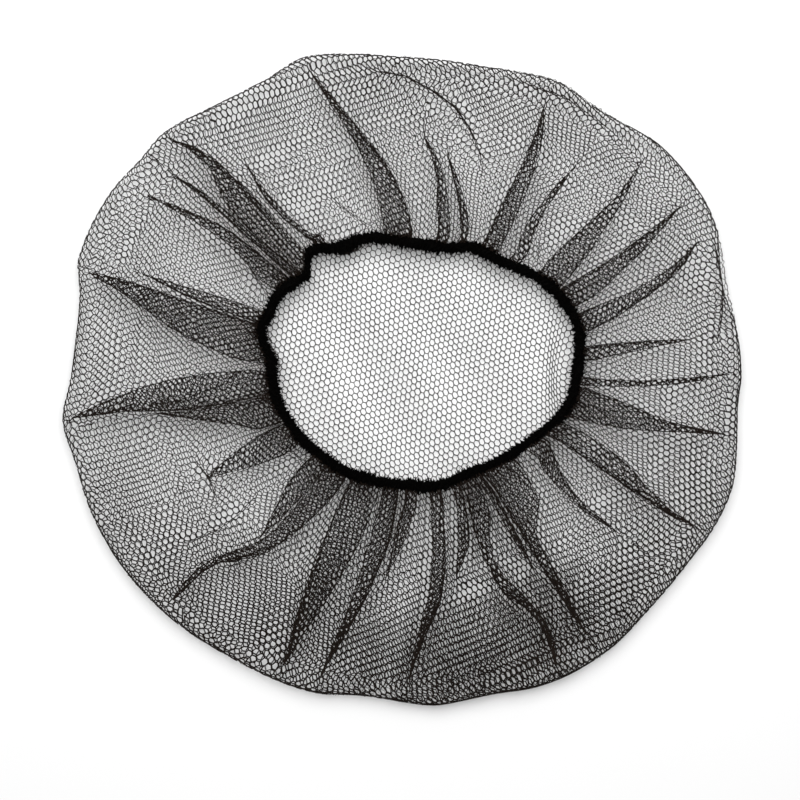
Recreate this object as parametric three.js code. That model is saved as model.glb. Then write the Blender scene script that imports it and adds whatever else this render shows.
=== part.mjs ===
// A knitted hairnet lying flat, its gathered elastic edge and head opening facing up.
// Units are millimetres, +Z is up, and the crown rests on z = 0.
// The net is one seamless bag: a flat crown on the table, a rounded rim fold, and a skirt that
// runs back over the crown and is drawn into pleats by the elastic edge.
import * as THREE from "three";

// Driving dimensions
const netWall = 1.0;            // thickness of the net's wall
const rimBulge = 8;             // how far in from the outline the rim fold starts to round
const rimMiddleHeight = 5;      // height of the outermost line of the rim fold
const rimTopHeight = 9.2;       // height of the skirt just inside the rim fold
const skirtPuff = 4.2;          // how far the skirt swells above its two ends, half way in
const skirtWaves = [            // slow waves round the swell: height, how many, and turn in degrees
  { height: 0.5, count: 3, turn: 60 },
  { height: 0.4, count: 7, turn: 110 },
];
const bandHeight = 9.5;         // height of the elastic edge's centre line
const bandWaves = [             // how the elastic edge rides up and down, in the same terms
  { height: 0.5, count: 2, turn: 130 },
  { height: 0.4, count: 8, turn: 40 },
];
const bandWidth = 5.4;
const bandThickness = 4.0;
const bandGap = 0.3;            // clearance between the net's end and the elastic edge
const joinAngle = 121.5;        // where the two ends of the elastic overlap
const joinReach = 5;            // degrees to each side of it that the overlap takes
const joinExtra = 1.4;          // how much wider the edge is there
const pleatLift = 3.2;          // height of a full pleat at the elastic edge
const slimmestPleat = 0.45;     // share of that height that the slimmest pleat has
const fullPleatWidth = 12;      // degrees of width over which a pleat grows to its full height
const pleatHold = 1.6;          // above 1, a pleat keeps its height before it runs out to its tip
const pleatMargin = 1.1;        // degrees by which a pleat's ridge is wider than its fold
const columns = 144;            // sections round the hairnet, shared by the net and the edge
const bandSides = 8;

// The outline's radius from the gather's centre, by angle counter-clockwise from +X
const outline = [
  { angle: 0, radius: 168.5 }, { angle: 10, radius: 168 }, { angle: 16, radius: 168 },
  { angle: 25, radius: 173 }, { angle: 31, radius: 174.6 }, { angle: 43, radius: 172.8 },
  { angle: 50, radius: 168 }, { angle: 56, radius: 166.3 }, { angle: 62, radius: 167.6 },
  { angle: 70, radius: 163.8 }, { angle: 76, radius: 161 }, { angle: 90, radius: 161 },
  { angle: 100, radius: 165 }, { angle: 107, radius: 168.5 }, { angle: 115, radius: 165 },
  { angle: 124, radius: 166.3 }, { angle: 135, radius: 172.5 }, { angle: 140, radius: 171.9 },
  { angle: 148, radius: 174.4 }, { angle: 160, radius: 173.9 }, { angle: 165, radius: 168.8 },
  { angle: 171, radius: 166.2 }, { angle: 180, radius: 167.4 }, { angle: 187, radius: 172.8 },
  { angle: 195, radius: 170.5 }, { angle: 205, radius: 171 }, { angle: 218, radius: 169.8 },
  { angle: 228, radius: 167.6 }, { angle: 238, radius: 165 }, { angle: 254, radius: 164 },
  { angle: 262, radius: 160.6 }, { angle: 268, radius: 161.5 }, { angle: 275, radius: 164.4 },
  { angle: 285, radius: 164 }, { angle: 295, radius: 168.8 }, { angle: 307, radius: 170.2 },
  { angle: 316, radius: 168.5 }, { angle: 326, radius: 169.2 }, { angle: 335, radius: 172.2 },
  { angle: 342, radius: 172.8 }, { angle: 350, radius: 169 }, { angle: 356, radius: 167.2 },
];

// The centre line of the elastic edge, measured the same way
const bandLine = [
  { angle: 0, radius: 85.5 }, { angle: 10, radius: 88.5 }, { angle: 18, radius: 90 },
  { angle: 25, radius: 88.5 }, { angle: 32, radius: 86 }, { angle: 40, radius: 81.4 },
  { angle: 48, radius: 76.5 }, { angle: 55, radius: 74.4 }, { angle: 62, radius: 73.8 },
  { angle: 70, radius: 69.2 }, { angle: 78, radius: 67.5 }, { angle: 87, radius: 67.5 },
  { angle: 96, radius: 69.6 }, { angle: 105, radius: 72.2 }, { angle: 114, radius: 72.7 },
  { angle: 120, radius: 75 }, { angle: 125, radius: 78.4 }, { angle: 128, radius: 78.2 },
  { angle: 131, radius: 74.5 }, { angle: 134, radius: 71.2 }, { angle: 138, radius: 73 },
  { angle: 145, radius: 75.3 }, { angle: 155, radius: 75.3 }, { angle: 161, radius: 76 },
  { angle: 165, radius: 73.8 }, { angle: 170, radius: 69 }, { angle: 174, radius: 67 },
  { angle: 182, radius: 66.3 }, { angle: 192, radius: 64.6 }, { angle: 202, radius: 61.8 },
  { angle: 212, radius: 59.6 }, { angle: 222, radius: 57.2 }, { angle: 235, radius: 56.1 },
  { angle: 248, radius: 54.2 }, { angle: 260, radius: 53.4 }, { angle: 272, radius: 53.6 },
  { angle: 282, radius: 55.6 }, { angle: 292, radius: 56.6 }, { angle: 302, radius: 57.1 },
  { angle: 310, radius: 59.3 }, { angle: 320, radius: 63.5 }, { angle: 330, radius: 68 },
  { angle: 340, radius: 74.9 }, { angle: 346, radius: 80 }, { angle: 352, radius: 83.6 },
];

// One row for each pleat, in order round the skirt. It covers the angles from a to b at its foot,
// by the elastic edge, and at its waist, which is at radius waistR, and it runs out to a point at
// its tip. A crease that starts clear of the elastic edge has its own footR.
const pleats = [
  { footA: 5.8, footB: 9.6, waistR: 115, waistA: 7, waistB: 8.6, tipR: 137, tip: 7.8 },
  { footA: 14.5, footB: 20.5, waistR: 130, waistA: 17.7, waistB: 21, tipR: 159, tip: 24.5 },
  { footA: 22.5, footB: 29.3, waistR: 120, waistA: 26, waistB: 30, tipR: 161, tip: 31.5 },
  { footA: 30.6, footB: 38, waistR: 130, waistA: 37.4, waistB: 40.1, tipR: 164, tip: 43 },
  { footA: 45.5, footB: 48.2, waistR: 105, waistA: 50.1, waistB: 51.6, tipR: 133, tip: 50.8 },
  { footA: 54, footB: 60, waistR: 115, waistA: 57, waistB: 61.2, tipR: 155, tip: 63.5 },
  { footR: 109, footA: 69.5, footB: 69.5, waistR: 131, waistA: 76, waistB: 77, tipR: 153, tip: 93 },
  { footA: 66, footB: 68.4, waistR: 88, waistA: 69.8, waistB: 72, tipR: 105, tip: 77.5 },
  { footA: 73, footB: 77, waistR: 95, waistA: 77.8, waistB: 80.3, tipR: 120, tip: 85.5 },
  { footA: 86.5, footB: 97, waistR: 120, waistA: 98.8, waistB: 101.5, tipR: 162, tip: 106.8 },
  { footA: 104.3, footB: 105.6, waistR: 82, waistA: 106.6, waistB: 107.6, tipR: 92, tip: 110.5 },
  { footA: 121.3, footB: 123.4, waistR: 100, waistA: 126, waistB: 127.2, tipR: 125, tip: 127 },
  { footA: 128.8, footB: 134.6, waistR: 120, waistA: 130.8, waistB: 135.6, tipR: 158, tip: 132.5 },
  { footA: 135.8, footB: 138.3, waistR: 112, waistA: 137, waistB: 138.3, tipR: 141, tip: 137.6 },
  { footA: 140.6, footB: 146, waistR: 115, waistA: 140.4, waistB: 142.8, tipR: 150, tip: 144.7 },
  { footA: 154.3, footB: 160, waistR: 110, waistA: 157, waistB: 159.6, tipR: 134, tip: 158.3 },
  { footA: 160.8, footB: 173.8, waistR: 120, waistA: 161, waistB: 167, tipR: 168, tip: 161.5 },
  { footA: 177.5, footB: 188.8, waistR: 120, waistA: 180.5, waistB: 188, tipR: 168, tip: 186.6 },
  { footA: 190, footB: 197, waistR: 92, waistA: 189.8, waistB: 194, tipR: 116, tip: 189.5 },
  { footA: 202, footB: 211, waistR: 90, waistA: 204, waistB: 209, tipR: 111, tip: 205.5 },
  { footR: 92, footA: 219.3, footB: 219.3, waistR: 115, waistA: 217, waistB: 218, tipR: 140, tip: 216 },
  { footA: 220.8, footB: 228.2, waistR: 85, waistA: 224, waistB: 228.6, tipR: 104, tip: 227.8 },
  { footR: 107, footA: 230, footB: 230, waistR: 127, waistA: 224, waistB: 225, tipR: 163, tip: 223.8 },
  { footA: 229.4, footB: 238.6, waistR: 90, waistA: 230.6, waistB: 236, tipR: 107, tip: 230.4 },
  { footA: 242.5, footB: 255, waistR: 115, waistA: 245.2, waistB: 250.3, tipR: 153, tip: 246.8 },
  { footA: 259.5, footB: 265, waistR: 105, waistA: 256.9, waistB: 260, tipR: 145, tip: 254.8 },
  { footA: 268, footB: 275, waistR: 75, waistA: 267.2, waistB: 272.6, tipR: 97, tip: 265.5 },
  { footA: 279.5, footB: 285.2, waistR: 105, waistA: 276.8, waistB: 279.8, tipR: 142, tip: 271 },
  { footA: 289.6, footB: 292.4, waistR: 82, waistA: 288.4, waistB: 291, tipR: 100, tip: 284.5 },
  { footA: 293.6, footB: 304, waistR: 95, waistA: 293.7, waistB: 296.8, tipR: 158, tip: 297.8 },
  { footA: 310, footB: 325.5, waistR: 92, waistA: 304.6, waistB: 314.2, tipR: 150, tip: 305.2 },
  { footA: 328.5, footB: 335.8, waistR: 95, waistA: 324, waistB: 327.6, tipR: 128, tip: 323.8 },
  { footA: 338.2, footB: 343.6, waistR: 120, waistA: 333.8, waistB: 337.5, tipR: 162, tip: 331.6 },
  { footA: 346.8, footB: 356.6, waistR: 118, waistA: 348, waistB: 352.9, tipR: 152, tip: 349.7 },
  { footA: 357.8, footB: 360, waistR: 120, waistA: 358, waistB: 359.3, tipR: 155, tip: 359.7 },
];

const radians = THREE.MathUtils.degToRad;
const smoothstep = THREE.MathUtils.smoothstep;

// A closed curve of radius against angle, through the rows of a table
function radiusCurve(rows) {
  return (angle) => {
    const a = ((angle % 360) + 360) % 360;
    const count = rows.length;
    let i = rows.findIndex((row) => row.angle > a);
    i = i < 0 ? count - 1 : i - 1;
    const row = (k) => ({
      angle: rows[((k % count) + count) % count].angle + 360 * Math.floor(k / count),
      radius: rows[((k % count) + count) % count].radius,
    });
    const [before, from, to, after] = [row(i - 1), row(i), row(i + 1), row(i + 2)];
    const span = to.angle - from.angle;
    const t = (a - from.angle) / span;
    const slopeFrom = (to.radius - before.radius) / (to.angle - before.angle) * span;
    const slopeTo = (after.radius - from.radius) / (after.angle - from.angle) * span;
    return (2 * t ** 3 - 3 * t ** 2 + 1) * from.radius + (t ** 3 - 2 * t ** 2 + t) * slopeFrom
      + (3 * t ** 2 - 2 * t ** 3) * to.radius + (t ** 3 - t ** 2) * slopeTo;
  };
}

const outlineRadius = radiusCurve(outline);
const bandRadius = radiusCurve(bandLine);

// The gather's centre isn't the middle of the outline, so the whole part is shifted by this much
function outlineMiddle() {
  const box = new THREE.Box2();
  for (let i = 0; i < columns; i++) {
    const angle = 360 * i / columns;
    box.expandByPoint(polar(angle, outlineRadius(angle)));
  }
  return box.getCenter(new THREE.Vector2());
}

function polar(angle, radius) {
  return new THREE.Vector2(radius * Math.cos(radians(angle)), radius * Math.sin(radians(angle)));
}

// Where the elastic edge runs: its centre, its outward direction and its height
function bandAt(angle) {
  const step = 1;
  const centre = polar(angle, bandRadius(angle));
  const along = polar(angle + step, bandRadius(angle + step))
    .sub(polar(angle - step, bandRadius(angle - step))).normalize();
  return {
    centre,
    outward: new THREE.Vector2(along.y, -along.x),
    height: bandHeightAt(angle),
  };
}

function waves(rows, angle) {
  return rows.reduce((sum, { height, count, turn }) =>
    sum + height * Math.sin(radians(count * angle + turn)), 0);
}

function bandHeightAt(angle) {
  return bandHeight + waves(bandWaves, angle);
}

function bandHalfWidth(angle) {
  const join = Math.max(0, 1 - Math.abs(angle - joinAngle) / joinReach);
  return (bandWidth + joinExtra * smoothstep(join, 0, 1)) / 2;
}

// The angle of a pleat's edge at a radius: the parabola through its foot, waist and tip
function pleatEdge(pleat, foot, waist, footR, radius) {
  const { waistR, tipR, tip } = pleat;
  return foot * ((radius - waistR) * (radius - tipR)) / ((footR - waistR) * (footR - tipR))
    + waist * ((radius - footR) * (radius - tipR)) / ((waistR - footR) * (waistR - tipR))
    + tip * ((radius - footR) * (radius - waistR)) / ((tipR - footR) * (tipR - waistR));
}

// How much the pleats raise the skirt at a point
function pleatRise(angle, radius) {
  let rise = 0;
  for (const pleat of pleats) {
    const footR = pleat.footR ?? bandRadius(pleat.footA) + bandWidth / 2;
    if (radius > pleat.tipR || (pleat.footR && radius < footR)) continue;
    const reach = Math.max(radius, footR);
    const a = pleatEdge(pleat, pleat.footA, pleat.waistA, footR, reach);
    const b = pleatEdge(pleat, pleat.footB, pleat.waistB, footR, reach);
    const off = ((angle - (a + b) / 2 + 540) % 360) - 180;
    const across = off / ((b - a) / 2 + pleatMargin);
    if (Math.abs(across) >= 1) continue;
    const fade = Math.min(1, pleatHold * (pleat.tipR - reach) / (pleat.tipR - footR));
    const start = pleat.footR ? Math.min(1, (reach - footR) / (pleat.waistR - footR)) : 1;
    const size = Math.min(1, slimmestPleat + (b - a) / fullPleatWidth);
    rise = Math.max(rise, pleatLift * size * fade * start * Math.cos(across * Math.PI / 2) ** 2);
  }
  return rise;
}

// Height of the middle of the skirt's wall over a point inside the rim fold
function skirtHeight(angle, radius) {
  const outer = outlineRadius(angle) - rimBulge;
  const inner = bandRadius(angle) + bandHalfWidth(angle);
  const inward = THREE.MathUtils.clamp((outer - radius) / (outer - inner), 0, 1);
  const ends = THREE.MathUtils.lerp(rimTopHeight, bandHeightAt(angle), smoothstep(inward, 0, 1));
  const swell = skirtPuff + waves(skirtWaves, angle);
  return ends + swell * Math.sin(Math.PI * inward) + pleatRise(angle, radius);
}

// The middle line of the net's wall at one angle, from the crown's centre out along the table,
// round the rim fold and back over the top to the elastic edge, as points with x, y and z
const crownShares = [0, 0.55, 1];
const rimTurns = [-60, -30, 0, 30, 60];
const skirtShares = [0, 0.12, 0.26, 0.42, 0.58, 0.72, 0.84, 0.93, 1];

function wallLine(angle) {
  const edge = outlineRadius(angle);
  const flat = edge - rimBulge;
  const line = crownShares.map((share) => ({ at: polar(angle, flat * share), z: netWall / 2 }));
  for (const turn of rimTurns) {
    const rise = turn < 0 ? rimMiddleHeight - netWall / 2 : rimTopHeight - rimMiddleHeight;
    const out = flat + rimBulge * Math.cos(radians(turn)) - netWall / 2 * Math.cos(radians(turn));
    line.push({ at: polar(angle, out), z: rimMiddleHeight + rise * Math.sin(radians(turn)) });
  }
  const band = bandAt(angle);
  const end = band.centre.clone()
    .addScaledVector(band.outward, bandHalfWidth(angle) + bandGap);
  const start = polar(angle, flat);
  for (const share of skirtShares) {
    const at = start.clone().lerp(end, share);
    const turned = THREE.MathUtils.radToDeg(Math.atan2(at.y, at.x));
    line.push({ at, z: skirtHeight((turned + 360) % 360, at.length()) });
  }
  return line;
}

// The wall line given its thickness: the outer skin going out and up, then the inner skin back
function wallSection(angle) {
  const line = wallLine(angle);
  const skin = (k, side) => {
    const before = line[Math.max(k - 1, 0)];
    const after = line[Math.min(k + 1, line.length - 1)];
    const outward = polar(angle, 1);
    const run = after.at.clone().sub(before.at).dot(outward);
    const climb = after.z - before.z;
    const length = Math.hypot(run, climb) || 1;
    const push = side * netWall / 2 / length;
    return new THREE.Vector3(
      line[k].at.x + outward.x * climb * push,
      line[k].at.y + outward.y * climb * push,
      line[k].z - run * push,
    );
  };
  const outer = line.map((_, k) => skin(k, 1));
  const inner = line.map((_, k) => skin(k, -1)).reverse();
  outer[0].set(0, 0, 0);
  inner[inner.length - 1].set(0, 0, netWall);
  return [...outer, ...inner];
}

// The net: a lathe whose points are moved, section by section, to the net's real ones
function netGeometry() {
  const sections = Array.from({ length: columns }, (_, i) => wallSection(360 * i / columns));
  const count = sections[0].length;
  const profile = Array.from({ length: count }, (_, k) =>
    new THREE.Vector2(k === 0 || k === count - 1 ? 0 : 1, k));
  const geometry = new THREE.LatheGeometry(profile, columns);
  const position = geometry.getAttribute("position");
  for (let i = 0; i <= columns; i++) {
    const section = sections[i % columns];
    section.forEach((point, k) => position.setXYZ(i * count + k, point.x, point.y, point.z));
  }
  geometry.computeVertexNormals();
  return geometry;
}

// The elastic edge: a torus laid along its centre line
function bandGeometry() {
  const geometry = new THREE.TorusGeometry(1, 0.5, bandSides, columns);
  const position = geometry.getAttribute("position");
  for (let j = 0; j <= bandSides; j++) {
    for (let i = 0; i <= columns; i++) {
      const angle = 360 * (i % columns) / columns;
      const turn = 2 * Math.PI * (j % bandSides) / bandSides;
      const { centre, outward, height } = bandAt(angle);
      const at = centre.clone().addScaledVector(outward, bandHalfWidth(angle) * Math.cos(turn));
      const up = height + bandThickness / 2 * Math.sin(turn);
      position.setXYZ(j * (columns + 1) + i, at.x, at.y, up);
    }
  }
  geometry.computeVertexNormals();
  return geometry;
}

const netFinish = new THREE.MeshStandardMaterial({
  color: new THREE.Color(0.045, 0.04, 0.038), roughness: 0.7, metalness: 0,
});
const bandFinish = new THREE.MeshStandardMaterial({
  color: new THREE.Color(0.012, 0.011, 0.011), roughness: 0.85, metalness: 0,
});

const net = new THREE.Mesh(netGeometry(), netFinish);
net.name = "net";
const elasticEdge = new THREE.Mesh(bandGeometry(), bandFinish);
elasticEdge.name = "elastic_edge";

const hairnet = new THREE.Group();
hairnet.add(net, elasticEdge);
const middle = outlineMiddle();
hairnet.position.set(-middle.x, -middle.y, 0);

export default hairnet;
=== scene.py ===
import math
import bpy
import numpy as np
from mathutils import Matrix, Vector


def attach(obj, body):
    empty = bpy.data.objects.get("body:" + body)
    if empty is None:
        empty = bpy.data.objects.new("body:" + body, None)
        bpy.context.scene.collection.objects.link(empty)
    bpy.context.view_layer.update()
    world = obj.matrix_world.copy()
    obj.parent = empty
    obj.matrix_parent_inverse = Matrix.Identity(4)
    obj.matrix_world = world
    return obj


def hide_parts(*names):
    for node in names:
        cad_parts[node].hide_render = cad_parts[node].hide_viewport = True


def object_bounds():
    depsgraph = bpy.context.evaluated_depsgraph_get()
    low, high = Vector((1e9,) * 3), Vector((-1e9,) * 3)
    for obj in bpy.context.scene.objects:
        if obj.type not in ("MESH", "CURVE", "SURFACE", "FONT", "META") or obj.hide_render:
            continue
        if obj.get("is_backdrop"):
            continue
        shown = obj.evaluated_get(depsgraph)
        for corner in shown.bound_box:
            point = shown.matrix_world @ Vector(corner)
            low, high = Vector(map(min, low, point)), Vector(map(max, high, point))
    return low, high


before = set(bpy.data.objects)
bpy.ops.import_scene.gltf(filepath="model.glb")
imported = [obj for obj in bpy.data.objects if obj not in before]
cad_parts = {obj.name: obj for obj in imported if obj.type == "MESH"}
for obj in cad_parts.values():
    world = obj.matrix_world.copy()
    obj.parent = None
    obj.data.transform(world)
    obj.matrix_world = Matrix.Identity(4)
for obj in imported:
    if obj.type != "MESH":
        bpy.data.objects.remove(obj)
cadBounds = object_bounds()

# Lengths are in millimetres until a mesh is made, and angles run counter-clockwise from +X
# about the gather's centre, the point that the folds run out from.
mm = 0.001
seed = 21
gatherCentre = (1.44, 0.62)
sections = 144  # sections that the CAD solids are made of, round the gather's centre


# The shape, read from the CAD solids

def nodePoints(name):  # a solid's points, from the gather's centre
    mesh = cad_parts[name].data
    points = np.zeros(len(mesh.vertices) * 3, np.float32)
    mesh.vertices.foreach_get("co", points)
    return points.reshape(-1, 3) / mm - (*gatherCentre, 0)


def ringOf(points, pick):  # one point for each section: the one that pick finds highest
    angle = np.degrees(np.arctan2(points[:, 1], points[:, 0])) % 360
    offCentre = np.hypot(points[:, 0], points[:, 1]) > 10
    ring = []
    for i in range(sections):
        turn = 360 * i / sections
        near = offCentre & (np.abs((angle - turn + 180) % 360 - 180) < 0.3)
        ring.append(points[near][pick(points[near]).argmax()])
    return np.array(ring)


def roundCurve(values):  # a smooth closed curve through the sections' values
    values = np.asarray(values)
    n = len(values)

    def at(angle):
        place = np.asarray(angle) % 360 * n / 360
        i = np.floor(place).astype(int)
        t = place - i
        a, b, c, d = (values[(i + k) % n] for k in (-1, 0, 1, 2))
        return b + t / 2 * (c - a + t * (2 * a - 5 * b + 4 * c - d + t * (3 * (b - c) + d - a)))
    return at


rimRing = ringOf(nodePoints("net"), lambda p: np.hypot(p[:, 0], p[:, 1]))
bandRing = ringOf(nodePoints("elastic_edge"), lambda p: p[:, 2])
bandSize = {"width": 5.4, "thickness": 4.0}  # the elastic's, as in the CAD solid
outline = roundCurve(np.hypot(rimRing[:, 0], rimRing[:, 1]))
bandLine = roundCurve(np.hypot(bandRing[:, 0], bandRing[:, 1]))
bandHeight = roundCurve(bandRing[:, 2] - bandSize["thickness"] / 2)
print("frame read:", len(rimRing), "sections")


def smooth(t):  # from 0 to 1 as t goes from 0 to 1, easing in and out
    t = np.clip(t, 0, 1)
    return t * t * (3 - 2 * t)


def wander(x, y, length, key, z=0):  # even waviness of about this wave length, mostly from -1 to 1
    rng = np.random.default_rng(key)
    total = 0
    for _ in range(4):
        turn, phase = rng.random(2) * 2 * math.pi
        size = length * (0.7 + 0.6 * rng.random())
        way = x * math.cos(turn) + y * math.sin(turn) + z
        total = total + np.sin(way * 2 * math.pi / size + phase)
    return total / 2.6


# The pleats

# One entry for each pleat, in order round the skirt: its lean, then the radius and the angles of its
# two sides at a few places from its foot, by the elastic edge, to its tip. Lean is 1 where the net on
# its lower side lies on top, and -1 where the net on its upper side does.
pleats = [
    (1, (94, 5.4, 10), (105, 6.2, 9.3), (120, 6.9, 8.7), (142, 7.7, 7.7)),
    (-1, (95, 14.3, 20.6), (108, 15.9, 20.6), (120, 17.8, 20.7), (140, 20.4, 22.2),
     (150, 22.2, 23.3), (160, 24.9, 24.9)),
    (1, (93, 22.4, 29.6), (106, 24, 29.8), (120, 26.3, 30), (140, 29.1, 30.9), (161, 31.9, 31.9)),
    (1, (88, 30.4, 38.6), (100, 32.3, 39.8), (120, 36.2, 40.1), (140, 39.2, 40.6),
     (158, 42.3, 42.3)),
    (-1, (83, 45.4, 48.4), (92, 47.2, 50.6), (100, 49.1, 51.9), (110, 50.3, 51.8),
     (120, 50.7, 51.8), (132, 51.2, 51.2)),
    (1, (80, 53.6, 60), (100, 55.9, 60.9), (120, 58, 61.1), (140, 60.6, 62), (151, 62.9, 62.9)),
    (1, (77, 66, 68.6), (87, 69.2, 71.6), (100, 74.2, 75.8), (112, 79.1, 79.1)),
    (1, (75, 72.8, 77.3), (87, 75.6, 79.5), (100, 78.6, 80.9), (110, 81.4, 82.9), (120, 85.5, 85.5)),
    (-1, (73, 87, 97.5), (87, 90, 98.3), (100, 93.2, 99.4), (120, 99.2, 102), (140, 103.9, 105.2),
     (159, 107.1, 107.1)),
    (1, (82, 120.5, 123.8), (90, 124.4, 126.1), (100, 126, 127.5), (113, 126.7, 128),
     (130, 126.8, 126.8)),
    (-1, (83, 128.9, 135.6), (100, 129.4, 136.4), (120, 130, 136.3), (133, 130.7, 134.3),
     (143, 131, 132.8), (157, 132.6, 133.3), (167, 134.6, 134.6)),
    (1, (83, 135.9, 138.2), (100, 136.7, 138.3), (120, 137, 138.2), (140, 137.7, 138.4),
     (152, 138.8, 138.8)),
    (-1, (80, 139.5, 145.1), (100, 139.7, 143.7), (110, 139.9, 143), (120, 140.6, 142.9),
     (140, 142.9, 143.9), (155, 144.6, 144.6)),
    (1, (80, 154.9, 159.5), (100, 156.4, 159.9), (120, 157.7, 159.3), (137, 158.4, 158.4)),
    (-1, (77, 160.1, 174), (87, 160.4, 173.1), (100, 160.5, 171), (120, 160.6, 167.6),
     (140, 160.7, 164.1), (150, 160.9, 162.9), (168, 161.5, 161.5)),
    (1, (77, 177.2, 187.6), (100, 179, 188.6), (120, 180.9, 187.9), (140, 183.4, 186.8),
     (168, 186.9, 186.9)),
    (1, (77, 188, 199.5), (87, 188.4, 195.4), (100, 189, 192.4), (113, 188.6, 189.9),
     (123, 188.3, 188.3)),
    (-1, (72, 201, 212.3), (80, 201.8, 211.1), (87, 202.9, 210), (100, 204.9, 208.1),
     (109, 206.6, 206.6)),
    (-1, (67, 220.1, 228.6), (80, 222.4, 229), (87, 224.3, 228.6), (100, 226.9, 228.4),
     (106, 227.6, 227.6)),
    (1, (65, 229.1, 239.3), (80, 229.6, 237), (87, 229.7, 235.9), (100, 229.5, 233.6),
     (110, 228, 231.8), (120, 225.6, 228.6), (130, 223.4, 224.8), (140, 222.6, 223.7),
     (153, 223.1, 223.8), (163, 223.8, 223.8)),
    (-1, (62, 241.9, 256.5), (80, 242.9, 255), (100, 243.8, 252.4), (120, 244.9, 250.1),
     (140, 246.2, 248.1), (155, 247.1, 247.1)),
    (1, (60, 258.8, 266.6), (80, 258, 264.8), (100, 257.1, 261.4), (110, 256.7, 260.1),
     (120, 256.1, 258.4), (140, 254.8, 255.7), (152, 254.3, 254.3)),
    (-1, (62, 270, 275.3), (73, 267, 271.9), (80, 266.3, 270), (90, 265.4, 267.2), (98, 264.6, 264.6)),
    (1, (62, 282, 287.6), (73, 280.2, 285.1), (80, 279.8, 284.3), (90, 279, 282.9),
     (100, 277.5, 281.3), (110, 276, 279.6), (120, 274.1, 276.8), (130, 272.6, 274.1),
     (140, 271.5, 272.3), (149, 270.9, 270.9)),
    (1, (63, 293.2, 296.6), (70, 291.8, 295.2), (80, 289.5, 293.4), (87, 288, 291.6),
     (93, 286.1, 288.8), (102, 284.3, 284.3)),
    (-1, (65, 297.8, 305), (80, 294.8, 302), (90, 293.9, 297.8), (100, 293.6, 295.9),
     (110, 294, 296.3), (120, 295.3, 298.2), (130, 297.9, 299.3), (140, 298.8, 299.9),
     (150, 298.6, 299.5), (163, 297.6, 297.6)),
    (1, (70, 305.7, 308.2), (87, 304.2, 306.2), (100, 303.8, 305.2), (112, 304.1, 304.1)),
    (-1, (70, 309.2, 323.3), (80, 307.9, 320.6), (90, 307.1, 317.6), (97, 306.8, 312),
     (100, 306.5, 309.8), (110, 306, 308.6), (120, 305.8, 307.9), (140, 305.3, 306.4),
     (154, 305.3, 305.3)),
    (1, (78, 329.3, 336.8), (80, 327.4, 334.5), (90, 324.8, 328.9), (100, 323.6, 325.9),
     (110, 323.3, 324.6), (130, 324, 324)),
    (-1, (83, 337.9, 343.9), (90, 336.8, 343.1), (100, 335.6, 341.6), (110, 334.7, 340.1),
     (120, 333.9, 338.3), (130, 333.2, 336), (140, 332.8, 334.2), (150, 332.6, 333.3),
     (161, 333, 333)),
    (1, (90, 346.4, 356.8), (100, 346.7, 354.8), (110, 347, 353.3), (120, 347.5, 351.9),
     (130, 348.2, 350.6), (140, 349, 350.3), (162, 350, 350)),
    (1, (92, 357.6, 360), (100, 357.6, 359.4), (120, 358.1, 359.3), (140, 359, 359.9),
     (158, 360.6, 360.6)),
]
radii = np.arange(40, 182, 0.5)  # the radii at which the pleats' edges are worked out
edgeSpacing = 0.4  # degrees kept between neighbouring pleats where they have run out
easeReach = 6  # how many values each way a measured line is eased over
easing = np.exp(-np.linspace(-2, 2, 2 * easeReach + 1) ** 2)


def eased(values):  # a line without its corners, shorter by easeReach at both ends
    return np.convolve(values, easing / easing.sum(), mode="valid")


def pleatEdges():  # each pleat's two edges at each radius, as angles
    lower, upper, live = (np.zeros((len(pleats), len(radii))) for _ in range(3))
    for k, (_, *stations) in enumerate(pleats):
        at, a, b = np.array(stations).T
        for row, side in ((lower, a), (upper, b)):
            row[k] = eased(np.pad(np.interp(radii, at, side), easeReach, mode="edge"))
        live[k] = radii < at[-1]
    upper = np.where(live > 0, upper, lower)
    for row in range(1, len(pleats)):  # a pleat that has run out makes way for those that haven't
        low = upper[row - 1] + edgeSpacing
        free = live[row] == 0
        lower[row] = np.where(free, np.maximum(lower[row], low), lower[row])
        upper[row] = np.where(free, lower[row], upper[row])
    for row in range(len(pleats) - 2, -1, -1):
        high = lower[row + 1] - edgeSpacing
        free = live[row] == 0
        lower[row] = np.where(free, np.minimum(lower[row], high), lower[row])
        upper[row] = np.where(free, lower[row], upper[row])
    return lower, upper


edgeA, edgeB = pleatEdges()


def edgesAt(k, radius):  # a pleat's edges and its width in mm at these radii
    turn = 360 * (k // len(pleats))
    k = k % len(pleats)
    a, b = np.interp(radius, radii, edgeA[k]), np.interp(radius, radii, edgeB[k])
    return a + turn, b + turn, np.radians(b - a) * radius


# The surfaces that the netting lies on

form = {
    "rimBulge": 8, "rimArc": 10.2, "rimMiddle": 5, "rimTop": 9.2, "rimBottom": 0.35,
    "puff": 4.2, "puffWaves": ((0.5, 3, 60), (0.4, 7, 110)),  # each wave's height, number and start
    "crownLift": 0.5, "crownLiftLength": 38,
    "slimmestPleat": 0.35, "layerGap": 0.85, "layerGapWidth": 6, "foldRound": 1.3, "ramp": 3.5,
}
# the ridge that a pleat makes: taller for a wider pleat, and where more layers lie in it
ridge = {
    "lift": 2.6, "margin": 1.4, "fullWidth": 16, "widthPower": 0.6, "slimWidth": 1.5,
    "share": 0.3, "perLayer": 0.35,
}


def overRim(angle, reach, low):  # where a point this far along the net is, as radius and height
    flat = outline(angle) - form["rimBulge"]
    turn = np.clip((reach - flat) / form["rimArc"], 0, 1) * math.pi / 2
    radius = np.where(reach < flat, reach, flat + form["rimBulge"] * np.sin(turn))
    return radius, turn, low + (form["rimMiddle"] - low) * (1 - np.cos(turn))


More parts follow.
